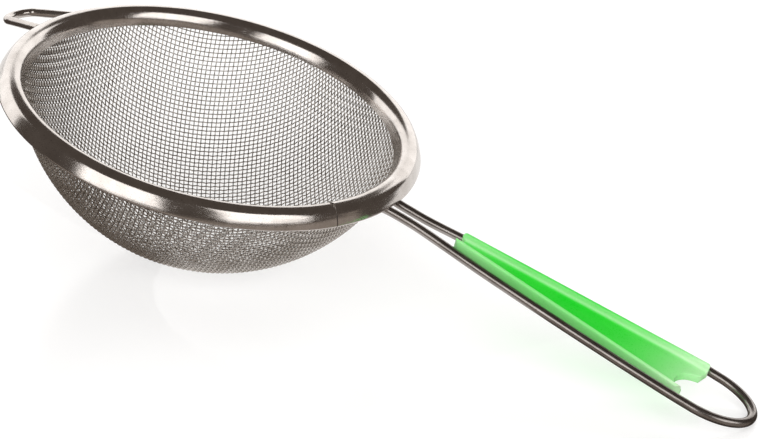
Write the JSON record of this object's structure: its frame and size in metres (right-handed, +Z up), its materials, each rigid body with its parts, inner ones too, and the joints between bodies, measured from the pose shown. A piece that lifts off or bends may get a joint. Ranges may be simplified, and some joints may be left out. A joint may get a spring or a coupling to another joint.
{
  "type": "mesh strainer",
  "caption": "Round wire-mesh hand strainer with a rolled rim, a long looped wire handle with a clip-in plastic grip, and a rest hook opposite.",
  "frame": {"origin": "centre of the footprint, on the surface that the strainer rests on with its bowl's bottom and its handle's loop", "axes": "+X from the bowl towards the handle's loop, +Z up, +Y to the left of the handle seen from its loop"},
  "size_m": [0.2432, 0.12, 0.0573],
  "materials": {
    "rim_steel": "satin stainless steel, lightly scratched",
    "cloth_steel": "drawn stainless wire, plain weave",
    "rod_steel": "bright drawn rod",
    "hook_steel": "bright drawn rod",
    "grip_plastic": "satin, slightly see-through green plastic"
  },
  "bodies": {
    "root": {"rim_band": "rim_steel", "mesh_bowl": "cloth_steel", "handle_wire": "rod_steel", "rest_hook": "hook_steel", "grip_insert": "grip_plastic"}
  },
  "joints": []
}
